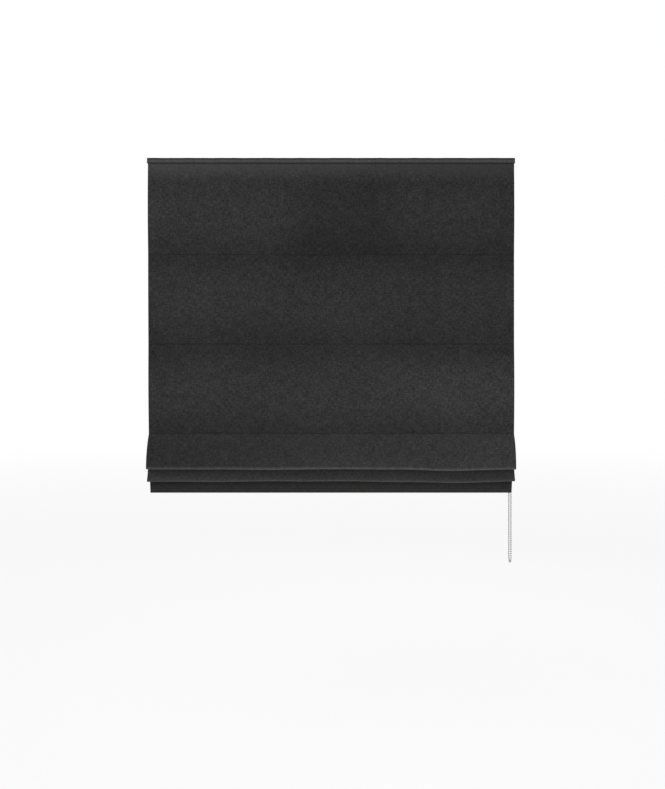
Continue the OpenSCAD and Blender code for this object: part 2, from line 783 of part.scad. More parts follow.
// Cord anchors: turned stops below the lowest rings that the lift cords are tied in
module cord_anchors() {
    bore_r = cord_r + soft_gap;
    neck_share = 0.35;
    color("white") for (x = cord_xs) translate([x, cord_y, anchor_top]) rotate_extrude() difference() {
        union() {
            box_2d(0, anchor_r, -anchor_l + anchor_r, 0);
            intersection() {
                translate([0, -anchor_l + anchor_r]) circle(anchor_r);
                box_2d(0, anchor_r, -anchor_l, 0);
            }
        }
        box_2d(0, bore_r, -anchor_l / 2 - soft_gap, over);
        translate([anchor_r + neck_share * anchor_r, -neck_share * anchor_l]) circle(anchor_r / 2);
    }
}

// The bottom bar's own frame: its middle in the hem, leaning with the flap
module in_hem() {
    middle = hem_top + (hem_fall - bar_h / 2 + bar_t / 2) * hem_line + hem_r * hem_behind;
    translate([0, middle[0], middle[1]]) rotate([hem_lean, 0, 0]) children();
}

// The bottom bar's section, with rounded edges
module bar_section(grow) {
    straight = bar_h - bar_t;
    box_2d(-bar_t / 2 - grow, bar_t / 2 + grow, -straight / 2, straight / 2);
    for (z = [-straight / 2, straight / 2]) translate([0, z]) circle(bar_t / 2 + grow);
}

// Bottom bar: a flat aluminium weight in the hem
module bottom_bar() {
    color("silver") in_hem() along(-bar_half, bar_half) bar_section(-play / 2);
}

// Bottom bar caps: a plastic cap over each end of the bar
module bottom_bar_caps() {
    cap_end = bar_half + bar_cap_l / 2;
    color("white") in_hem() both_ends() difference() {
        along(cap_end - bar_cap_l, cap_end) bar_section(play);
        along(cap_end - bar_cap_l - over, bar_half + play / 2) bar_section(0);
    }
}

headrail();
hook_tape();
end_cap();
bracket(-bracket_x);  // bracket_left
bracket(bracket_x);  // bracket_right
control_housing();
control_cover();
clutch_spring();
chain_sprocket();
output_hub();
drive_axle();
for (i = [0:2]) spool_cradle(i);
for (i = [0:2]) cord_spool(i);
for (i = [0:2]) cord_winding(i);
for (i = [0:2]) lift_cord(i);
control_chain();
chain_connector();
loop_tape();
fabric_heading();
fabric_panel();
lining_panel();
fabric_folds();
lining_folds();
for (i = [0:4]) rod(i);
for (i = [0:4]) rod_pocket(i);
for (i = [0:4]) rod_caps(i);
for (i = [0:4]) cord_rings(i);
cord_anchors();
bottom_bar();
bottom_bar_caps();
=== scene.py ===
"""Roman blind with a chain drive: its looks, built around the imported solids.
Metres, with +Z up, -Y to the front and +X at the side of the chain."""

import bpy
import numpy as np
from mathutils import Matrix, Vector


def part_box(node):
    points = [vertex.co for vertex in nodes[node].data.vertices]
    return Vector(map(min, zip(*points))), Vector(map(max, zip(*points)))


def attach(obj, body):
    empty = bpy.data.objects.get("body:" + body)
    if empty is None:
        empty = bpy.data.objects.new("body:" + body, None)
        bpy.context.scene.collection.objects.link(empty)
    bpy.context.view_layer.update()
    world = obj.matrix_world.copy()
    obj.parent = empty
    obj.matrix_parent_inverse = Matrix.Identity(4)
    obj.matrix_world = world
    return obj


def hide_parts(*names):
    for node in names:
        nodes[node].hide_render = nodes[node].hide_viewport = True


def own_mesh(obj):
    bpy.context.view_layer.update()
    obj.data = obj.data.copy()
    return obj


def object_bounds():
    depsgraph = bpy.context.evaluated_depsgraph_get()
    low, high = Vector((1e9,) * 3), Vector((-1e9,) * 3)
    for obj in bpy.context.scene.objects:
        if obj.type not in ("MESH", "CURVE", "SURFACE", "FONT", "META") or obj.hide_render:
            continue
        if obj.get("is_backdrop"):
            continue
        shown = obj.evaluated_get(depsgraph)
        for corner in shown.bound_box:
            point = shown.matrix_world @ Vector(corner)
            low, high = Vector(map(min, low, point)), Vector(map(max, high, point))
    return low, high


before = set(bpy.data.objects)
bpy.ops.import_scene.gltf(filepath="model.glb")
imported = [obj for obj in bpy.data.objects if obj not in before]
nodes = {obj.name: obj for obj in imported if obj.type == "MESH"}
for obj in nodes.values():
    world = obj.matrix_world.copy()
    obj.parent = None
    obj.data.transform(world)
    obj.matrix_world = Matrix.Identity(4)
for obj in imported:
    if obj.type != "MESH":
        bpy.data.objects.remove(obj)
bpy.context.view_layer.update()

# Camera: square on to the cloth from 2.3 m, level with the middle of the picture.
# The picture's long side takes the whole sensor, with no shift and no blur.
scene = bpy.context.scene
lens = bpy.data.cameras.new("camera")
lens.sensor_width = 36.0
lens.lens = 38.43
camera = bpy.data.objects.new("camera", lens)
camera.location = (0.0041, -2.3276, -0.647)
camera.rotation_euler = (np.pi / 2, 0.0, 0.0)
scene.collection.objects.link(camera)
scene.camera = camera
scene.view_settings.view_transform = "Standard"


# Brackets: two clips of zinc-plated sheet steel, stamped and bent.
# Two screws hold each from below, and the headrail's flanges snap into it.
class Wire:
    """One node socket. Arithmetic on it adds Math nodes, and make() adds any other node."""

    def __init__(self, socket):
        self.socket = socket
        self.tree = socket.id_data

    def make(self, kind, settings=None, sockets=None, out=0):
        """A new node of that kind: its settings first, then the values or links of its sockets."""
        node = self.tree.nodes.new(kind)
        for name, value in (settings or {}).items():
            setattr(node, name, value)
        for key, value in (sockets or {}).items():
            if isinstance(value, Wire):
                self.tree.links.new(value.socket, node.inputs[key])
            else:
                node.inputs[key].default_value = value
        return Wire(node.outputs[out])

    def math(self, operation, first, second=0.0):
        """A Math node on one or two values, each a wire or a number."""
        return self.make("ShaderNodeMath", {"operation": operation}, {0: first, 1: second})

    def __add__(self, other):
        return self.math("ADD", self, other)

    def __radd__(self, other):
        return self.math("ADD", other, self)

    def __sub__(self, other):
        return self.math("SUBTRACT", self, other)

    def __rsub__(self, other):
        return self.math("SUBTRACT", other, self)

    def __mul__(self, other):
        return self.math("MULTIPLY", self, other)

    def __rmul__(self, other):
        return self.math("MULTIPLY", other, self)

    def __abs__(self):
        return self.math("ABSOLUTE", self)

    def clouds(self, per_metre, detail=2.0):
        """Soft noise about 0.5, with so many blotches to the metre along each axis."""
        place = self.make("ShaderNodeMapping", None, {"Vector": self, "Scale": per_metre})
        return self.make("ShaderNodeTexNoise", None, {"Vector": place, "Scale": 1.0, "Detail": detail})

    def axis(self, which):
        """One coordinate of this vector."""
        return self.make("ShaderNodeSeparateXYZ", None, {0: self}, which)

    def between(self, low, high):
        """0 below low and 1 above high, with a smooth step between."""
        return self.make("ShaderNodeMapRange", {"interpolation_type": "SMOOTHSTEP"},
                         {"Value": self, "From Min": low, "From Max": high})

    def tint(self, dark, light):
        """A colour between two, by this value."""
        return self.make("ShaderNodeMix", {"data_type": "RGBA"},
                         {0: self, 6: (*dark, 1.0), 7: (*light, 1.0)}, 2)

    def relief(self, depth, strength, under=None):
        """A normal that rises and falls with this value, by that depth in metres."""
        sockets = {"Height": self, "Distance": depth, "Strength": strength}
        if under:
            sockets["Normal"] = under
        return self.make("ShaderNodeBump", None, sockets)

    def eased_edges(self, radius):
        """A normal that rounds the sharp edges of a cut or moulded piece."""
        return self.make("ShaderNodeBevel", {"samples": 6}, {"Radius": radius})

    def into(self, shader, name):
        """Links this wire to a named socket of a shader."""
        self.tree.links.new(self.socket, shader.inputs[name])


def new_finish(name, coordinates="Object", **plain):
    """A new material: its shader with these plain values, and a wire of the surface's coordinates."""
    material = bpy.data.materials.new(name)
    material.use_nodes = True
    shader = material.node_tree.nodes["Principled BSDF"]
    for socket, value in plain.items():
        shader.inputs[socket.replace("_", " ")].default_value = value
    place = material.node_tree.nodes.new("ShaderNodeTexCoord")
    return material, shader, Wire(place.outputs[coordinates])


def dress(finish, *names):
    """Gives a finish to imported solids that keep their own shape."""
    for name in names:
        nodes[name].data.materials.clear()
        nodes[name].data.materials.append(finish)


zinc, shader, spot = new_finish("zinc_plate", Metallic=1.0)
spangle = spot.make("ShaderNodeTexVoronoi", None, {"Vector": spot, "Scale": 420.0}, "Color").axis(0)
smear = spot.clouds((60.0, 60.0, 60.0), 4.0)
(0.6 * spangle + 0.4 * smear).tint((0.32, 0.33, 0.345), (0.54, 0.55, 0.57)).into(shader, "Base Color")
(0.24 + 0.14 * spangle + 0.1 * smear).into(shader, "Roughness")
smear.relief(0.00008, 0.3, spot.eased_edges(0.0003)).into(shader, "Normal")
dress(zinc, "bracket_left", "bracket_right")


# Headrail: an extruded aluminium channel in satin white powder coat, open below.
# The coat has a fine orange peel, and dulls in patches where it was handled.
powder_coat, shader, spot = new_finish("white_powder_coat", IOR=1.5)
peel = spot.clouds((900.0, 900.0, 900.0), 1.0)
handled = spot.clouds((9.0, 30.0, 30.0), 5.0)
(0.75 * handled + 0.25 * peel).tint((0.8, 0.8, 0.785), (0.87, 0.87, 0.86)).into(shader, "Base Color")
(0.3 + 0.22 * handled).into(shader, "Roughness")
peel.relief(0.00006, 0.35, spot.eased_edges(0.0004)).into(shader, "Normal")
dress(powder_coat, "headrail")


# End cap, control unit, cradles, rings, cord anchors and the caps of rods and bar: moulded white plastic.
# The mould leaves a fine even grain, softer edges and a slight cloudiness.
def moulded(name, dark, light, gloss, grain):
    """Moulded plastic between two tones: spark-eroded grain, cloudy gloss and eased edges."""
    finish, shader, spot = new_finish(name, IOR=1.49)
    cloudy = spot.clouds((45.0, 45.0, 45.0), 4.0)
    speck = spot.clouds((2600.0, 2600.0, 2600.0), 1.0)
    (0.8 * cloudy + 0.2 * speck).tint(dark, light).into(shader, "Base Color")
    (gloss + 0.16 * (cloudy - 0.5) + 0.12 * speck).into(shader, "Roughness")
    speck.relief(0.00003, grain, spot.eased_edges(0.0004)).into(shader, "Normal")
    return finish


white_plastic = moulded("white_plastic", (0.78, 0.78, 0.765), (0.86, 0.86, 0.85), 0.36, 0.4)
grey_plastic = moulded("grey_plastic", (0.4, 0.41, 0.42), (0.5, 0.51, 0.52), 0.34, 0.35)
dress(white_plastic, "end_cap", "control_housing", "control_cover", "cord_anchors", "bottom_bar_caps",
      "spool_cradle_1", "spool_cradle_2", "spool_cradle_3")
for rod in range(1, 6):
    dress(white_plastic, f"rod_caps_{rod}", f"cord_rings_{rod}")

# Output hub, sprocket and spools: grey moulded plastic, slightly waxy, which runs dry in the white one.
# The sprocket has a round pocket for each bead, and the spools are keyed to the axle.
dress(grey_plastic, "output_hub", "chain_sprocket", "cord_spool_1", "cord_spool_2", "cord_spool_3")


# Clutch spring, axle and bottom bar: drawn or extruded metal, left bare.
# Fine die lines run along the blind, and the spring is darkened by oil.
def drawn_metal(name, dark, light, rough):
    """Bare metal with die lines along X."""
    finish, shader, spot = new_finish(name, Metallic=1.0)
    lines = spot.clouds((4.0, 2400.0, 2400.0), 2.0)
    bloom = spot.clouds((25.0, 60.0, 60.0), 4.0)
    (0.6 * lines + 0.4 * bloom).tint(dark, light).into(shader, "Base Color")
    (rough + 0.2 * (lines - 0.5) + 0.1 * bloom).into(shader, "Roughness")
    lines.relief(0.00004, 0.4, spot.eased_edges(0.0002)).into(shader, "Normal")
    return finish


dress(drawn_metal("mill_aluminium", (0.6, 0.61, 0.62), (0.8, 0.81, 0.82), 0.3), "drive_axle", "bottom_bar")
dress(drawn_metal("oiled_spring_steel", (0.2, 0.2, 0.21), (0.36, 0.36, 0.37), 0.26), "clutch_spring")

# Hook tape and loop tape: woven nylon, stuck along the headrail and sewn behind the heading.
# One has rows of stiff hooks, the other a brushed pile.
hooks, shader, spot = new_finish("hook_tape", Roughness=0.75)
hook_rows = abs(spot.math("SINE", spot.axis(0) * 4200.0)) * abs(spot.math("SINE", spot.axis(2) * 3600.0))
hook_rows.tint((0.62, 0.62, 0.6), (0.86, 0.86, 0.85)).into(shader, "Base Color")
hook_rows.relief(0.0005, 0.8).into(shader, "Normal")
dress(hooks, "hook_tape")

pile, shader, spot = new_finish("loop_tape", Roughness=0.9, Sheen_Weight=0.3)
fuzz = spot.clouds((1500.0, 1500.0, 1500.0), 4.0)
fuzz.tint((0.6, 0.6, 0.58), (0.9, 0.9, 0.88)).into(shader, "Base Color")
fuzz.relief(0.0006, 0.8).into(shader, "Normal")
dress(pile, "loop_tape")


# Lift cords: braided white polyester, 1.2 mm, from each spool through its eyelet and rings.
# Each is tied off in the anchor under the lowest ring, and shortens as its spool winds it up.
def put_mesh(name, points, faces, uv, finish, body):
    """A mesh piece of these vertices, faces and UVs, on a body. Its faces all turn round
    where the sum of each quad's middle times its normal, six times the volume, is below 0."""
    quads = points[np.array([face for face in faces if len(face) == 4])]
    normals = np.cross(quads[:, 2] - quads[:, 0], quads[:, 3] - quads[:, 1])
    if (quads.mean(1) * normals).sum() < 0:
        faces = [face[::-1] for face in faces]
    mesh = bpy.data.meshes.new(name)
    mesh.from_pydata(points.tolist(), [], faces)
    corner = np.zeros(len(mesh.loops), np.int32)
    mesh.loops.foreach_get("vertex_index", corner)
    mesh.uv_layers.new(name="UVMap").data.foreach_set("uv", uv[corner].astype(np.float32).ravel())
    mesh.shade_smooth()
    mesh.set_sharp_from_angle(angle=np.radians(50.0))
    mesh.materials.append(finish)
    piece = bpy.data.objects.new(name, mesh)
    scene.collection.objects.link(piece)
    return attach(piece, body)


def grid_faces(first, columns, rows, wrap_columns=False, wrap_rows=False):
    """Quads of a grid of vertices numbered from first, row by row within each column."""
    i = np.arange(columns if wrap_columns else columns - 1)[:, None]
    j = np.arange(rows if wrap_rows else rows - 1)[None, :]
    i_next, j_next = (i + 1) % columns, (j + 1) % rows
    corners = [i * rows + j, i_next * rows + j, i_next * rows + j_next, i * rows + j_next]
    return (first + np.stack([c + np.zeros_like(i * j) for c in corners], -1).reshape(-1, 4)).tolist()


def tube(name, path, radii, sides, finish, body, closed=False):
    """A round tube: a ring of that radius about each point of a path that doesn't run along X.
    Open ends are closed by one face. UVs are turns round the tube and metres along it."""
    ahead = np.roll(path, -1, 0) - np.roll(path, 1, 0)
    if not closed:
        ahead[0], ahead[-1] = path[1] - path[0], path[-1] - path[-2]
    ahead /= np.linalg.norm(ahead, axis=1)[:, None]
    across = np.array((1.0, 0.0, 0.0)) - ahead * ahead[:, :1]
    across /= np.linalg.norm(across, axis=1)[:, None]
    other = np.cross(ahead, across)
    turn = 2.0 * np.pi * np.arange(sides) / sides
    ring = across[:, None] * np.cos(turn)[:, None] + other[:, None] * np.sin(turn)[:, None]
    points = path[:, None] + np.reshape(radii, (-1, 1, 1)) * ring
    along = np.concatenate([[0.0], np.cumsum(np.linalg.norm(np.diff(path, axis=0), axis=1))])
    uv = np.stack(np.broadcast_arrays(turn[None] / (2.0 * np.pi), along[:, None]), -1)
    faces = grid_faces(0, len(path), sides, closed, True)
    if not closed:
        last = (len(path) - 1) * sides
        faces += [list(range(sides))[::-1], list(range(last, last + sides))]
    return put_mesh(name, points.reshape(-1, 3), faces, uv.reshape(-1, 2), finish, body)


braid, shader, spot = new_finish("braided_cord", "UV", Roughness=0.7, Sheen_Weight=0.2)
twist, length = spot.axis(0) * (6.0 * np.pi), spot.axis(1) * 4200.0
plait = abs(spot.math("SINE", length + twist)) * abs(spot.math("SINE", length - twist))
plait.tint((0.62, 0.62, 0.59), (0.88, 0.88, 0.86)).into(shader, "Base Color")
plait.relief(0.0002, 0.7).into(shader, "Normal")

cord_r, cord_sides, coil_sides = 0.0006, 10, 8
lead_steps, drop_steps, turn_steps = 24, 60, 32
axle_y, axle_z = 0.0051294, -0.0229319
cord_y = -0.0171613
eyelet_z, cord_end_z = -0.0330, -0.7858
drum_r, turns = 0.0074, 8
lead_r, coil_r, coil_start = drum_r + cord_r + 0.0003, drum_r + cord_r + 0.0001, 0.0009

# The lead is a tangent from the eyelet to the wound spool, so its rise and length follow from the spool's
# radius and the way to the axle.
reach_y, reach_z = axle_y - cord_y, axle_z - eyelet_z
away = np.hypot(reach_y, reach_z)
rise = np.arctan2(reach_z, reach_y) + np.arcsin(lead_r / away)
lead_l = np.sqrt(away**2 - lead_r**2)
lead_line = np.linspace(0.0, lead_l, lead_steps)[:, None] * np.array((0.0, np.cos(rise), np.sin(rise)))
drop_l = eyelet_z - cord_end_z
drop_line = np.linspace(0.0, drop_l, drop_steps)[:, None] * np.array((0.0, 0.0, -1.0))
angle = np.linspace(0.0, 2.0 * np.pi * turns, turn_steps * turns)
for number, x in ((1, -0.4), (2, 0.0), (3, 0.4)):
    top = np.array((x, cord_y, eyelet_z))
    drop_path = top + drop_line
    lead = tube(f"cord_lead_{number}", top + lead_line, np.full(lead_steps, cord_r), cord_sides,
                braid, "head")
    drop = tube(f"cord_drop_{number}", drop_path, np.full(drop_steps, cord_r), cord_sides, braid, "head")
    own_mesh(drop)
    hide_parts(f"lift_cord_{number}")
    coil_path = np.stack([x + coil_start - 2 * cord_r * angle / (2.0 * np.pi),
                          axle_y + coil_r * np.cos(angle + rise),
                          axle_z + coil_r * np.sin(angle + rise)], -1)
    coil = tube(f"cord_turns_{number}", coil_path, np.full(len(angle), cord_r), coil_sides, braid, "drive")
    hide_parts(f"cord_winding_{number}")


# Control chain: an endless loop of hollow nickel-plated balls, 4.5 mm on a 6 mm pitch.
# Short wire links join them, and a split sleeve closes the loop on the rear strand.
nickel, shader, spot = new_finish("nickel_plate", Metallic=1.0)
tarnish = spot.clouds((260.0, 260.0, 90.0), 4.0)
tarnish.tint((0.2, 0.195, 0.195), (0.42, 0.41, 0.41)).into(shader, "Base Color")
(0.1 + 0.2 * tarnish).into(shader, "Roughness")
tarnish.relief(0.00005, 0.15).into(shader, "Normal")

chain_x = 0.49525
pitch, bead_r, link_r, bead_sides = 0.006, 0.00225, 0.0006, 10
pockets, strand_beads = 14, 179
wheel_r = pitch / 2.0 / np.sin(np.pi / pockets)


def chain_line(count):
    """The chain's centreline at a count of pitches from the top of the sprocket: over it,
    down the front strand, round the bottom and up the rear strand, back to the top."""
    quarter, half = pockets / 4.0, pockets / 2.0
    stops = np.cumsum([0.0, quarter, strand_beads, half, strand_beads, quarter])
    part = [np.clip(count - a, 0.0, b - a) for a, b in zip(stops[:-1], stops[1:])]
    turned = np.pi / 2.0 + (part[0] + part[2] + part[4]) * np.pi / half
    y = axle_y + wheel_r * np.cos(turned)
    z = axle_z + wheel_r * np.sin(turned) + (part[3] - part[1]) * pitch
    return np.stack([np.full_like(y, chain_x), y, z], -1)


# Each ball is seven rings of the tube, and the stretch from one ball's last ring to the next is the link.
beads = 2 * strand_beads + pockets
latitude = np.radians((-74.0, -50.0, -25.0, 0.0, 25.0, 50.0, 74.0))
station = (np.arange(beads)[:, None] + bead_r * np.sin(latitude) / pitch + 0.5).ravel()
ball_r = np.tile(np.maximum(bead_r * np.cos(latitude), link_r), beads)
chain = tube("bead_chain", chain_line(station), ball_r, bead_sides, nickel, "head", closed=True)
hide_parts("control_chain")
dress(nickel, "chain_connector")


# Face cloth, heading: the top of the charcoal cloth, turned over a stiff strip and flattened.
# The loop tape is sewn behind it, and its top edge is rolled forward with a groove below the roll.
# Its colour holds painted shade on the roll, in the groove and at the band's seam, and a painted highlight
# down the band.
def charcoal(name, shade):
    """Plain-woven charcoal cloth on UVs in metres: slubs along both yarns, a fine weave and a soft nap.
    shade gives two values from the coordinates across and down it: the light and shade painted into the
    cloth's colour, 1 plain, and how much its slubs show. The plain tone times that painted light and shade
    times the square of the mottle is its colour."""
    yarns_per_metre, plain_tone, headroom = 930.0, np.array((0.0252, 0.0252, 0.025)), 4.0
    finish, shader, spot = new_finish(name, "UV", Roughness=0.9, Specular_IOR_Level=0.12, Sheen_Weight=0.06,
                                      Sheen_Roughness=0.45, Sheen_Tint=(0.75, 0.75, 0.74, 1.0))
    across, down = spot.axis(0), spot.axis(1)
    weft = spot.clouds((100.0, 300.0, 1.0), 2.0)
    warp = spot.clouds((300.0, 100.0, 1.0), 2.0)
    dye = 0.5 * spot.clouds((3.4, 4.2, 1.0), 1.0) + 0.8 * spot.clouds((40.0, 40.0, 1.0), 3.0)
    across_yarns, down_yarns = across * (np.pi * yarns_per_metre), down * (np.pi * yarns_per_metre)
    over_warp, over_weft = spot.math("SINE", across_yarns), spot.math("SINE", down_yarns)
    turn_warp = spot.math("SINE", across_yarns + np.pi / 2.0)
    turn_weft = spot.math("SINE", down_yarns + np.pi / 2.0)
    upper = 0.5 + 0.5 * (turn_warp * turn_weft)
    weave = spot.math("MAXIMUM", abs(over_warp) * upper, abs(over_weft) * (1.0 - upper))
    mottle = 1.75 * (weft + warp - 1.0) + (dye - 0.65) + 0.45 * (weave - 0.45)
    # light holds the light and shade painted into the cloth's colour, 1 plain.
    light, slubs = shade(across, down)
    thread = 1.0 + 0.5 * mottle * slubs
    lightness = thread * thread * light * (1.0 / headroom)
    lightness.tint((0.0, 0.0, 0.0), headroom * plain_tone).into(shader, "Base Color")
    (weave + 0.6 * weft + 0.6 * warp).relief(0.0003, 0.4).into(shader, "Normal")
    return finish


def band_shade(across, down):
    """Painted shade on the roll and in its groove, a painted highlight down the band, and painted shadow
    again at the band's seam.
    """
    fallen = 0.0 - down
    return 0.5 + 1.9 * fallen.between(0.0, 0.0022) - 1.5 * fallen.between(0.0075, 0.0115), 0.35


half_w, heading_over = 0.5, 0.0025
low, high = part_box("fabric_heading")
front, back, top, bottom = low.y, high.y, high.z, low.z
roll_r, groove_h, groove_d = (back - front) / 2.0, 0.0008, 0.0008
band_r, band_crown, foot_r = 0.0006, 0.00015, 0.0009
band_top = top - 2.0 * roll_r - groove_h
neck = np.arccos((roll_r - groove_d) / roll_r)
roll = np.linspace(-neck, np.pi + neck, 23)
quarter = np.linspace(0.0, np.pi / 2.0, 5)
crown_at = np.array((0.25, 0.5, 0.75))

# The profile runs up the back, over the roll, into the groove and down the band's face to its foot.
band_y = np.concatenate([[back, back, back - groove_d],
                         front + roll_r + roll_r * np.cos(roll),
                         [front + groove_d],
                         front + band_r * (1.0 - np.sin(quarter)),
                         front - band_crown * np.array((2.0, 3.0, 2.0)) / 3.0,
                         front + foot_r * (1.0 - np.cos(quarter))])
band_z = np.concatenate([[bottom, band_top, band_top],
                         top - roll_r + roll_r * np.sin(roll),
                         [band_top],
                         band_top - band_r * (1.0 - np.cos(quarter)),
                         band_top + crown_at * (bottom - band_top),
                         bottom + foot_r * (1.0 - np.sin(quarter))])
band_edge = 3 + len(roll) + 1
band_x = np.linspace(-half_w - heading_over, half_w + heading_over, 161)
ripple = 0.00012 * np.sin(band_x * 61.0) + 0.0001 * np.sin(band_x * 143.0 + 1.0)
band_points = np.stack(np.broadcast_arrays(band_x[:, None], band_y[None] + 0.0 * band_x[:, None],
                                           band_z[None] + ripple[:, None]), -1)
band_run = np.concatenate([[0.0], np.cumsum(np.hypot(np.diff(band_y), np.diff(band_z)))])
band_run -= band_run[band_edge]
band_uv = np.stack(np.broadcast_arrays(band_x[:, None], -band_run[None]), -1)
columns, rows = len(band_x), len(band_y)
faces = grid_faces(0, columns, rows, False, True)
faces += [list(range(rows)), list(range((columns - 1) * rows, columns * rows))[::-1]]
heading = put_mesh("cloth_heading", band_points.reshape(-1, 3), faces, band_uv.reshape(-1, 2),
                   charcoal("charcoal_band", band_shade), "head")
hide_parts("fabric_heading")


# Face cloth, flat part: a metre of charcoal cloth hung from the heading, with 12 mm side hems.
# It bellies a little to the front between the rods, and each row of stitching draws it in.
def shell(name, front, back, uv, finish, body):
    """A sheet with thickness: a front and a back surface on one grid, joined round all four edges."""
    columns, rows = front.shape[:2]
    count = columns * rows
    points = np.concatenate([front.reshape(-1, 3), back.reshape(-1, 3)])
    faces = grid_faces(0, columns, rows) + [face[::-1] for face in grid_faces(count, columns, rows)]
    rim = np.concatenate([np.arange(rows),
                          np.arange(1, columns) * rows + rows - 1,
                          (columns - 1) * rows + np.arange(rows - 2, -1, -1),
                          np.arange(columns - 2, 0, -1) * rows])
    after = np.roll(rim, -1)
    faces += np.stack([rim, after, after + count, rim + count], -1).tolist()
    return put_mesh(name, points, faces, np.concatenate([uv.reshape(-1, 2)] * 2), finish, body)


def belly(x, z, supports, depth):
    """How far hung cloth stands out between its supports: half a sine wave between each two,
    whose depth two slow waves along the blind vary."""
    out = np.zeros(np.broadcast(x, z).shape)
    for number, (upper, lower) in enumerate(zip(supports[:-1], supports[1:])):
        share = np.clip((upper - z) / (upper - lower), 0.0, 1.0)
        uneven = 1.0 + 0.22 * np.sin(7.3 * x + 1.7 * number) + 0.14 * np.sin(15.1 * x + 2.9 * number)
        out = out + depth * np.sin(np.pi * share) * uneven
    return out


def drawn_in(x, share):
    """Moves the cloth's left edge in, where the cloth hangs a little off square: by the share of the way
    down to the power 1.5, and fading from the edge with the 8th power of the distance from the middle."""
    return x + off_square * np.clip(share, 0.0, 1.0) ** 1.5 * (np.clip(-x, 0.0, None) / half_w) ** 8


def hung_shade(across, down):
    """Painted lighter, a painted highlight, and with slubs that show less for a few centimetres under the
    heading; a painted highlight where each length bellies out; lighter towards the upper left and lower
    right; and darker in painted shadow under the heading's seam, along each row of stitches, partly the
    thread and partly painted shade in the stitch groove, and in a faint patch of painted shade in the
    middle of the first length."""
    fallen = 0.0 - down
    # Painted highlight: lighter for a few centimetres under the heading, where the slubs also show less.
    pressed_and_lit = 1.0 - fallen.between(0.0054, 0.059)
    # Painted shadow under the lower edge of the heading band.
    seam = fallen.between(-0.0005, 0.0036) * 0.6 + 0.4
    # Painted highlight in the middle of each length, where it bellies out.
    wave = abs(fallen.math("SINE", fallen * (np.pi * (len(supports) - 1) / panel_l)))
    belly_highlight = wave.math("MAXIMUM", wave, 0.25) * (0.26 + 0.2 * fallen)
    drift = 1.07 - 0.07 * fallen.between(0.2, 0.27) + 0.8 * across * (fallen - 0.45)
    # A faint patch of painted shade in the middle of the first length.
    shade_patch_across = 1.0 - abs(across - 0.03).between(0.05, 0.22)
    shade_patch_down = 1.0 - abs(fallen - 0.15).between(0.06, 0.15)
    uneven = across.clouds((9.0, 1.0, 1.0), 3.0).between(0.3, 0.65)
    shade = (1.0 + 0.92 * pressed_and_lit) * seam * (0.75 + belly_highlight) * (drift - 0.3 * shade_patch_across * shade_patch_down)
    # Darker along each row of stitches: partly the thread, partly painted shade in the stitch groove.
    for row, drawn in zip(rod_z, (1.0, 1.0, 0.4)):
        line = 1.0 - abs(fallen - (heading_z - row)).between(0.0007, 0.003)
        shade = shade * (1.0 - drawn * line * (0.2 + 0.34 * uneven))
    return shade, 1.0 - 0.6 * pressed_and_lit


cloth_t, hem_w, thread_dip, thread_h = 0.0008, 0.012, 0.00035, 0.0018
belly_d, off_square, edge_wave = 0.0024, 0.0024, 0.0003
seam_y = -0.0267613
heading_z = -0.0155
rod_z = [-0.265, -0.509, -0.753, -0.766, -0.779]
supports = [heading_z] + rod_z[:3]
panel_l = heading_z - rod_z[2]
face_cloth = charcoal("charcoal_weave", hung_shade)
hem_edge = half_w - hem_w
cloth_x = np.concatenate([[-half_w, -half_w + 0.004, -hem_edge - 0.0004, -hem_edge + 0.0004],
                          np.linspace(-hem_edge + 0.007, hem_edge - 0.007, 111),
                          [hem_edge - 0.0004, hem_edge + 0.0004, half_w - 0.004, half_w]])
cloth_z = np.unique(np.concatenate([np.linspace(heading_z, rod_z[2], 121)] + [
    z + thread_h * np.array((-2.0, -1.0, -0.5, -0.25, 0.0, 0.25, 0.5, 1.0, 2.0)) for z in rod_z[:2]]))[::-1]
x, z = cloth_x[:, None], cloth_z[None, :]
panel_y = seam_y - belly(x, z, supports, belly_d)
dip = thread_dip * sum(np.exp(-(((z - row) / (0.45 * thread_h)) ** 2)) for row in rod_z[:2])
hem_back = cloth_t * (np.abs(x) > hem_edge)
fallen = (heading_z - z) / panel_l
edge = edge_wave * np.sign(x) * (np.abs(x) / half_w) ** 8 * np.sin(3.0 * np.pi * fallen)
panel_x, panel_z = drawn_in(x, fallen) + edge, z + 0.0 * x
panel_front = np.stack([panel_x, panel_y - cloth_t + dip, panel_z], -1)
panel_back = np.stack([panel_x, panel_y + hem_back + 0.0 * z, panel_z], -1)
panel_uv = np.stack(np.broadcast_arrays(x, z - heading_z), -1)
panel = shell("cloth_panel", panel_front, panel_back, panel_uv, face_cloth, "head")
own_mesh(panel)
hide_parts("fabric_panel")


# Lining, flat part: ivory cotton sateen slip-stitched inside the side hems.
# It follows the face cloth's belly and is sewn through with it at every rod.
sateen, shader, spot = new_finish("ivory_sateen", "UV", Roughness=0.8, Sheen_Weight=0.15)
weft = spot.clouds((60.0, 700.0, 1.0), 3.0)
warp = spot.clouds((700.0, 60.0, 1.0), 3.0)
aged = spot.clouds((6.0, 6.0, 1.0), 4.0)
ribs = abs(spot.math("SINE", (spot.axis(0) + 0.35 * spot.axis(1)) * 5200.0))
ivory = 0.45 * weft + 0.35 * warp + 0.3 * aged - 0.05
ivory.tint((0.66, 0.63, 0.55), (0.86, 0.84, 0.78)).into(shader, "Base Color")
(ribs + weft + warp).relief(0.00012, 0.35).into(shader, "Normal")

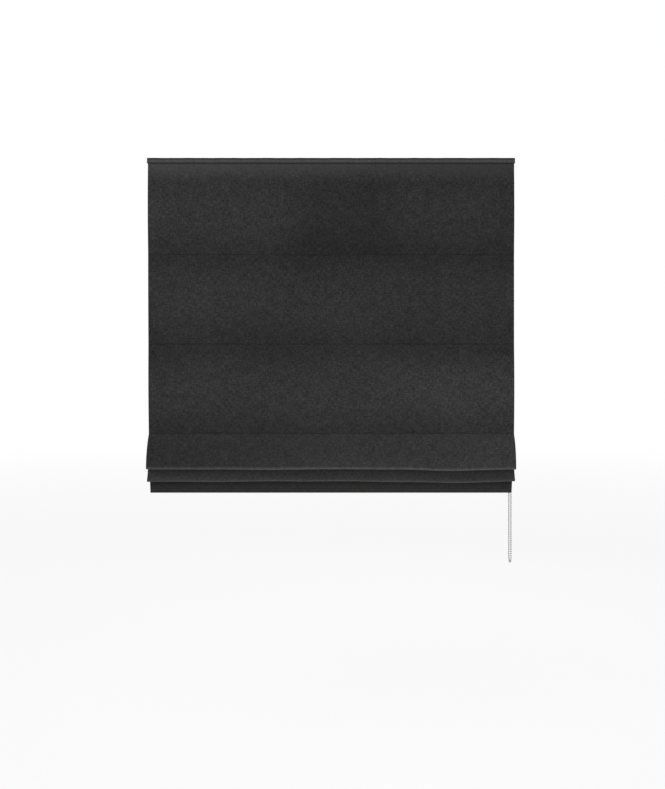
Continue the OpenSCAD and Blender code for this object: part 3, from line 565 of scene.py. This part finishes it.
lining_t, lining_half, thin_gap = 0.0004, 0.4877, 0.00002
x = np.linspace(-lining_half, lining_half, 101)[:, None]
lining_y = seam_y - belly(x, z, supports, belly_d)
lining_x, lining_z = x + 0.0 * z, z + 0.0 * x
lining_front = np.stack([lining_x, lining_y + thin_gap, lining_z], -1)
lining_back = np.stack([lining_x, lining_y + lining_t, lining_z], -1)
lining_uv = np.stack(np.broadcast_arrays(x, z), -1)
lining = shell("lining_panel_cloth", lining_front, lining_back, lining_uv, sateen, "head")
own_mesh(lining)
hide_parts("lining_panel")


# Face cloth, gathered part: the same cloth from the lowest flat rod, drawn up on three rods.
# It hangs forward in two soft folds, and ends in a flap whose hem holds the bottom bar.
def lean(degrees):
    """A direction, in depth and height, that points down and tilts to the front."""
    return np.array((-np.sin(np.radians(degrees)), -np.cos(np.radians(degrees))))


def on_circle(centre, radius, degrees):
    """Points in depth and height at that radius about a centre, by their angle from the back upwards."""
    angle = np.radians(np.asarray(degrees, float))
    return np.asarray(centre) + radius * np.stack([np.cos(angle), np.sin(angle)], -1)


def arc(centre, radius, start, stop, steps=14):
    """Points of a round turn, without its first."""
    return on_circle(centre, radius, np.linspace(start, stop, steps + 1)[1:])


def hang(start, out, stop, arrive, steps=26):
    """Points of a cubic that leaves start along out and reaches stop along arrive, without its first."""
    t = np.linspace(0.0, 1.0, steps + 1)[1:, None]
    u = 1.0 - t
    return u**3 * start + 3 * u * u * t * (start + out) + 3 * u * t * t * (stop - arrive) + t**3 * stop


# The path below is the cloth's back in depth and height, from rod 3 down. A fold leaves and reaches its
# crease and its rods at these leanings, in degrees, with handles that are these shares of its height.
face_y = seam_y - cloth_t
soft_gap, seat_h, turn_r = 0.0003, 0.0025, 0.0016
crease_1_z, crease_2_z, bottom_z = -0.850, -0.884, -0.917
crease_1_r, crease_2_r, crease_1_d, crease_2_d = 0.005, 0.004, 0.028, 0.013
crease_1 = np.array((seam_y - crease_1_d + crease_1_r, crease_1_z + cloth_t + crease_1_r))
crease_2 = np.array((seam_y - crease_2_d + crease_2_r, crease_2_z + cloth_t + crease_2_r))
turn_4 = np.array((seam_y - turn_r, rod_z[3] + seat_h))
turn_5 = np.array((seam_y - turn_r, rod_z[4] + seat_h))
fold_1_h, fold_2_h = rod_z[2] - crease_1[1], rod_z[3] - crease_2[1]
out_1 = np.degrees(np.arctan2(2 * (turn_r + cloth_t + 3 * soft_gap), rod_z[2] - rod_z[3] - 2 * seat_h))
out_2, back_1, down_2, back_2, up_2 = out_1 + 14.0, 23.0, 30.0, 17.0, -4.0
flap_out, hem_lean = 9.0, 3.5
share, out_2_share, down_2_share, back_2_share = 0.33, 0.23, 0.45, 0.36
hem_h, hem_r, hem_close, hem_d = 0.037, 0.0016, 0.005, 0.009
hem_top = np.array((seam_y + hem_d, bottom_z + hem_h))
hem_line = lean(-hem_lean)
hem_behind = np.array((np.cos(np.radians(hem_lean)), np.sin(np.radians(hem_lean))))
hem_fall = hem_h - hem_r - cloth_t
hem_foot = hem_top + hem_fall * hem_line
gather_top = np.array((seam_y, rod_z[2] - seat_h))
below_4 = np.array((seam_y, rod_z[3] - seat_h))
below_5 = np.array((seam_y, rod_z[4] - seat_h))
legs = [
    np.array([(seam_y, rod_z[2]), (seam_y, rod_z[2] - 0.5 * seat_h), gather_top]),
    hang(gather_top, share * fold_1_h * lean(out_1), on_circle(crease_1, crease_1_r, 180.0),
         share * fold_1_h * lean(0.0)),
    arc(crease_1, crease_1_r, 180.0, 360.0),
    hang(on_circle(crease_1, crease_1_r, 360.0), -share * fold_1_h * lean(0.0),
         on_circle(turn_4, turn_r, 180.0 - back_1), -share * fold_1_h * lean(back_1)),
    arc(turn_4, turn_r, 180.0 - back_1, 0.0),
    below_4[None],
    hang(below_4, out_2_share * fold_2_h * lean(out_2), on_circle(crease_2, crease_2_r, 180.0 - down_2),
         down_2_share * fold_2_h * lean(down_2)),
    arc(crease_2, crease_2_r, 180.0 - down_2, 360.0 - back_2),
    hang(on_circle(crease_2, crease_2_r, 360.0 - back_2), -back_2_share * fold_2_h * lean(back_2),
         on_circle(turn_5, turn_r, 180.0 - up_2), -share * fold_2_h * lean(up_2)),
    arc(turn_5, turn_r, 180.0 - up_2, 0.0),
    below_5[None],
    hang(below_5, share * fold_1_h * lean(-flap_out), hem_top, share * fold_1_h * hem_line),
    hem_top + np.linspace(0.0, 1.0, 9)[1:, None] * hem_fall * hem_line,
    arc(hem_foot + hem_r * hem_behind, hem_r, 180.0 + hem_lean, 360.0 + hem_lean),
    hem_foot + 2 * hem_r * hem_behind
    - np.linspace(0.0, 1.0, 8)[1:, None] * (hem_fall - 2 * hem_close) * hem_line,
    (hem_top + hem_close * hem_line + (cloth_t + soft_gap) * hem_behind)[None],
]
leg_end = np.cumsum([len(leg) for leg in legs])
crease_1_at, crease_2_at = leg_end[2] - 7, leg_end[7] - 7
rod_4_at, rod_5_at = leg_end[4] - 8, leg_end[9] - 8
flap_starts, hem_starts = leg_end[9], leg_end[11]


def face_side(path):
    """The unit normal of a path in depth and height, on the side of the cloth's face."""
    ahead = np.gradient(path, axis=0)
    ahead /= np.linalg.norm(ahead, axis=1)[:, None]
    return np.stack([ahead[:, 1], -ahead[:, 0]], -1)


def sway(x):
    """How far the two creases waver along the blind: a dip towards the chain's side and slow waves."""
    dip_1 = -0.0036 * np.exp(-(((x - 0.311) / 0.078) ** 2))
    dip_2 = -0.0030 * np.exp(-(((x - 0.328) / 0.085) ** 2))
    wave_1 = 0.0007 * np.sin(10.1 * x + 0.6) + 0.0004 * np.sin(23.0 * x + 1.9)
    wave_2 = 0.0008 * np.sin(9.1 * x + 2.1) + 0.0005 * np.sin(27.0 * x + 0.3)
    return dip_1 + wave_1, dip_2 + wave_2


def crease_weight(run, start, crease, stop):
    """1 at a crease and 0 at the rods on either side of it, along the run of the cloth: a squared sine."""
    share_of = np.interp(run, [start, crease, stop], [0.0, 0.5, 1.0])
    return np.sin(np.pi * share_of) ** 2


def gathered(path, x, near, far, half):
    """A layer of the gathered cloth, between two distances from the path towards its face, along the blind.
    The creases sway, the left edge comes back to square and the flap's sides draw in towards its bottom."""
    normal = face_side(path)
    run = np.concatenate([[0.0], np.cumsum(np.linalg.norm(np.diff(path, axis=0), axis=1))])
    weight_1 = crease_weight(run, 0.0, run[crease_1_at], run[rod_4_at])[None]
    weight_2 = crease_weight(run, run[rod_4_at], run[crease_2_at], run[rod_5_at])[None]
    sway_1, sway_2 = (part[:, None] for part in sway(x))
    drop = weight_1 * sway_1 + weight_2 * sway_2
    forward_1, forward_2 = -0.0007 * np.sin(8.3 * x + 0.4)[:, None], -0.0004 * np.sin(11.0 * x)[:, None]
    forward = weight_1 * forward_1 + weight_2 * forward_2
    on_flap = np.arange(len(path)) >= flap_starts
    fallen = on_flap * np.clip((rod_z[4] - path[:, 1]) / (rod_z[4] - bottom_z), 0.0, 1.0)
    width = 1.0 - flap_taper * fallen / half
    square = 1.0 - np.clip((rod_z[2] - path[:, 1]) / (rod_z[2] - bottom_z), 0.0, 1.0)
    shape = []
    for offset in (far, near):
        off = np.broadcast_to(offset, (len(x), len(path)))
        shape.append(np.stack([drawn_in(x[:, None], square[None]) * width[None],
                               path[None, :, 0] + off * normal[None, :, 0] + forward,
                               path[None, :, 1] + off * normal[None, :, 1] + drop], -1))
    return shape[0], shape[1], run


def fold_shade(across, down):
    """A painted highlight where the first fold faces up below its rod, painted highlights along the front
    of the two creases, painted shadow under each crease, painted shade down the back of the second fold and
    the flap behind the folds, and darker along the stitches at the top, partly the thread and partly
    painted shade in the groove. The first fold is lighter towards the right, and its slubs show most."""
    fallen = 0.0 - down
    crease_1_run, crease_2_run, hem_run = run[[crease_1_at, crease_2_at, hem_starts]]
    fold_2_back, fold_2_top, flap_top = run[leg_end[[7, 8, 10]]]
    lower = fallen.between(crease_1_run - 0.02, crease_1_run)
    # Painted highlight where the first fold leaves its rod and faces up.
    shade = 1.0 + 0.27 * (1.0 - fallen.between(0.004, 0.065))
    # Darker along the stitches at the top: partly the thread, partly painted shade in the groove.
    shade = shade - 0.75 * (1.0 - fallen.between(0.0007, 0.0032))
    # Painted shadow under the first crease: the second fold is lighter only below it.
    shade = shade + 0.4 * fallen.between(crease_2_run - 0.035, crease_2_run - 0.025)
    # Painted shade down the back of the second fold and the flap, behind the folds.
    shade = shade - 0.3 * fallen.between(fold_2_back, fold_2_top)
    shade = shade - 0.46 * fallen.between(fold_2_back, flap_top)
    # Painted shadow under the second crease, along the top of the flap's hem.
    shade = shade + 0.17 * fallen.between(hem_run + 0.006, hem_run + 0.013)
    # Painted highlights along the front of each crease.
    for rim, pale, reach in ((crease_1_run - 0.00525, 1.02, 0.0075), (crease_2_run - 0.002, 0.3, 0.004)):
        shade = shade + pale * (1.0 - abs(fallen - rim).between(0.0, reach))
    return shade * (1.0 + across * (0.3 - 0.4 * lower)), 0.85 - 0.3 * lower


flap_taper = 0.0045
fold_path = np.concatenate(legs)
at_side, above_hem = np.abs(cloth_x) > hem_edge, np.arange(len(fold_path)) < hem_starts
side_hem = -cloth_t * at_side[:, None] * above_hem[None]
folds_front, folds_back, run = gathered(fold_path, cloth_x, side_hem, cloth_t, half_w)
folds_uv = np.stack(np.broadcast_arrays(cloth_x[:, None], -run[None]), -1)
folds = shell("cloth_folds", folds_front, folds_back, folds_uv,
              charcoal("charcoal_folds", fold_shade), "gather")
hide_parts("fabric_folds")


# Lining, gathered part: the ivory lining drawn up with the face cloth, down to the top of the hem.
# It lies inside the folds, and shows only at their open sides and behind the flap.
lining_path = np.concatenate(legs[:12])
fold_half = lining_half - 0.005
lining_x = np.linspace(-fold_half, fold_half, 91)
folds_front, folds_back, run = gathered(lining_path, lining_x, -lining_t, -thin_gap, lining_half)
folds_uv = np.stack(np.broadcast_arrays(lining_x[:, None], -run[None]), -1)
lining_folds = shell("lining_folds_cloth", folds_front, folds_back, folds_uv, sateen, "gather")
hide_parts("lining_folds")


# Stitching: dark polyester thread, sewn in one row through cloth, lining and rod pocket at each rod.
# The three rows on the flat cloth show from the front as faint lines.
thread, shader, spot = new_finish("charcoal_thread", Roughness=0.6, Sheen_Weight=0.2)
ply = abs(spot.math("SINE", spot.axis(0) * 9000.0 + spot.axis(2) * 9000.0))
ply.tint((0.012, 0.012, 0.012), (0.03, 0.03, 0.03)).into(shader, "Base Color")
ply.relief(0.0001, 0.5).into(shader, "Normal")


def stitch_row(name, z, y, half, body, finish):
    """A row of short raised threads along X. Each is a spindle whose radius goes as the root of a half sine
    along it, and which dips into the cloth at both ends. A small wave sets them off the straight line."""
    pitch, long, thick, wander, sides = 0.0032, 0.0025, 0.00022, 0.00008, 6
    middles = np.arange(-half + pitch, half - pitch, pitch)
    along = np.array((0.02, 0.2, 0.5, 0.8, 0.98))
    turn = 2.0 * np.pi * np.arange(sides) / sides
    fat = thick * np.sin(np.pi * along[:, None]) ** 0.5
    dipped = thick * (1.0 - np.sin(np.pi * along[:, None]))
    px = middles[:, None, None] + long * (along[:, None] - 0.5) + 0.0 * turn
    py = y + dipped + fat * np.cos(turn)
    pz = z + wander * np.sin(middles * 900.0)[:, None, None] + fat * np.sin(turn)
    points = np.stack(np.broadcast_arrays(px, py, pz), -1).reshape(-1, 3)
    rings = len(along)
    starts = np.arange(len(middles))[:, None] * rings * sides
    one = np.array(grid_faces(0, rings, sides, False, True))
    faces = (starts[:, None] + one[None]).reshape(-1, 4).tolist()
    faces += (starts + np.arange(sides)[::-1]).tolist()
    faces += (starts + (rings - 1) * sides + np.arange(sides)).tolist()
    return put_mesh(name, points, faces, points[:, [0, 2]], finish, body)


thread_proud, row_inset = 0.00005, 0.004
for number, body, sunk in ((1, "rod_1", thread_dip), (2, "rod_2", thread_dip), (3, "gather", 0.0)):
    row = stitch_row(f"stitch_row_{number}", rod_z[number - 1], face_y + sunk - thread_proud,
                     half_w - row_inset, body, thread)


# Rods: five pale glass-fibre rods, 3.6 mm, that keep the cloth straight across.
# Fine fibres run along them under a thin clear resin.
fibre, shader, spot = new_finish("glass_fibre", Roughness=0.32, Coat_Weight=0.3)
strand = spot.clouds((3.0, 1900.0, 1900.0), 2.0)
strand.tint((0.66, 0.64, 0.54), (0.84, 0.83, 0.75)).into(shader, "Base Color")
strand.relief(0.00004, 0.4).into(shader, "Normal")
dress(fibre, *[f"rod_{number}" for number in range(1, 6)])

# Rod pockets: soft white tape sewn into a tube along the lining, one for each rod.
# The tape puckers between its stitches, and stays open at both ends for the rod.
tape, shader, spot = new_finish("white_tape", "UV", Roughness=0.85, Sheen_Weight=0.15)
along_ribs, round_ribs = (abs(spot.math("SINE", spot.axis(which) * 5200.0)) for which in (0, 1))
rib = 0.6 * along_ribs + 0.4 * round_ribs
worn = spot.clouds((40.0, 300.0, 1.0), 3.0)
(0.5 * rib + 0.5 * worn).tint((0.6, 0.6, 0.58), (0.86, 0.86, 0.84)).into(shader, "Base Color")
rib.relief(0.0002, 0.5).into(shader, "Normal")

# Its outer face puckers in two waves along the blind, but not where it lies flat against the lining.
rod_y, pocket_half, pocket_r, pocket_wall = -0.0232613, 0.4757, 0.0028, 0.0007
pucker_room, pocket_steps, pocket_sides = 0.00012, 241, 18
x = np.linspace(-pocket_half, pocket_half, pocket_steps)[:, None]
angle = 2.0 * np.pi * np.arange(pocket_sides)[None] / pocket_sides
flat = np.clip(np.cos(angle - np.pi), 0.0, 1.0) ** 6
count = pocket_steps * pocket_sides
for number, body in enumerate(("rod_1", "rod_2", "gather", "gather", "gather"), 1):
    pucker = 0.00006 * np.sin(x * 1960.0) + 0.00005 * np.sin(x * 411.0 + number)
    outer_r = pocket_r - pucker_room + pucker * (1.0 - flat)
    layers = []
    for radius in (outer_r, outer_r - pocket_wall):
        layers.append(np.stack([x + 0.0 * angle, rod_y + radius * np.cos(angle),
                                rod_z[number - 1] + radius * np.sin(angle) * (1.0 + 0.1 * flat)], -1))
    points = np.concatenate([layer.reshape(-1, 3) for layer in layers])
    faces = grid_faces(0, pocket_steps, pocket_sides, False, True)
    faces += [face[::-1] for face in grid_faces(count, pocket_steps, pocket_sides, False, True)]
    for first in (0, count - pocket_sides):
        ring = first + np.arange(pocket_sides)
        after = first + (np.arange(pocket_sides) + 1) % pocket_sides
        ends = np.stack([ring, after, after + count, ring + count], -1)
        faces += (ends[:, ::-1] if first == 0 else ends).tolist()
    uv = np.stack(np.broadcast_arrays(x, angle * pocket_r), -1).reshape(-1, 2)
    pocket = put_mesh(f"pocket_tape_{number}", points, faces, np.concatenate([uv, uv]), tape, body)
    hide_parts(f"rod_pocket_{number}")


# Stage: a plain pale floor well below the blind, soft light from three sides, and a white surround.
# What the camera and the metal see of the surround is white, the floor fades into it with distance,
# and it is clear when seen from below.
def seen_directly(tree):
    """1 for rays that show the surround itself, and 0 for those that only light the object."""
    path = tree.nodes.new("ShaderNodeLightPath")
    seen = Wire(path.outputs["Is Camera Ray"]) + Wire(path.outputs["Is Glossy Ray"])
    return (seen + Wire(path.outputs["Is Transmission Ray"])).between(0.0, 1.0)


floor_z, floor_half, floor_white = -1.76, 30.0, 0.86
square = ((-1.0, -1.0), (1.0, -1.0), (1.0, 1.0), (-1.0, 1.0))
corners = [(floor_half * side, floor_half * end, floor_z) for side, end in square]
mesh = bpy.data.meshes.new("floor")
mesh.from_pydata(corners, [], [(0, 1, 2, 3)])
floor = bpy.data.objects.new("floor", mesh)
pale, shader, spot = new_finish("pale_floor", Roughness=0.9)
spot.clouds((3.0, 3.0, 3.0), 3.0).tint((0.86, 0.86, 0.86), (0.9, 0.9, 0.9)).into(shader, "Base Color")
glow = spot.make("ShaderNodeEmission", None, {"Color": (1.0, 1.0, 1.0, 1.0), "Strength": 1.0})
reach = spot.make("ShaderNodeVectorMath", {"operation": "LENGTH"}, {0: spot}, "Value")
white = (floor_white + (1.0 - floor_white) * reach.between(2.0, 18.0)) * seen_directly(spot.tree)
shown = spot.make("ShaderNodeMixShader", None, {0: white, 1: Wire(shader.outputs[0]), 2: glow})
below = spot.make("ShaderNodeNewGeometry", out="Backfacing")
clear = spot.make("ShaderNodeBsdfTransparent")
one_sided = spot.make("ShaderNodeMixShader", None, {0: below, 1: shown, 2: clear})
one_sided.into(pale.node_tree.nodes["Material Output"], "Surface")
mesh.materials.append(pale)
scene.collection.objects.link(floor)
floor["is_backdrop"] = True

world = bpy.data.worlds.new("surround")
world.use_nodes = True
scene.world = world
sky = world.node_tree.nodes["Background"]
sky.inputs["Color"].default_value = (1.0, 1.0, 1.0, 1.0)
(0.5 + 0.5 * seen_directly(world.node_tree)).into(sky, "Strength")


def soft_box(name, place, aim, size, watts):
    """A square area lamp at a place, tilted and turned so that it faces a point."""
    lamp = bpy.data.lights.new(name, "AREA")
    lamp.shape, lamp.size, lamp.energy = "SQUARE", size, watts
    box = bpy.data.objects.new(name, lamp)
    box.location = place
    back = np.array(place) - np.array(aim)
    tilt, turn = np.arctan2(np.hypot(back[0], back[1]), back[2]), np.arctan2(back[0], -back[1])
    box.rotation_euler = (tilt, 0.0, turn)
    box.visible_camera = False
    scene.collection.objects.link(box)


soft_box("lamp_above", (-0.9, -2.2, 1.5), (0.0, 0.0, -0.45), 2.2, 42.0)
soft_box("lamp_under", (0.1, -0.5, -1.7), (0.0, -0.05, -0.85), 1.2, 14.0)
soft_box("lamp_behind", (0.8, 2.6, 1.0), (0.0, 0.0, -0.45), 2.0, 26.0)

low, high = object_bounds()
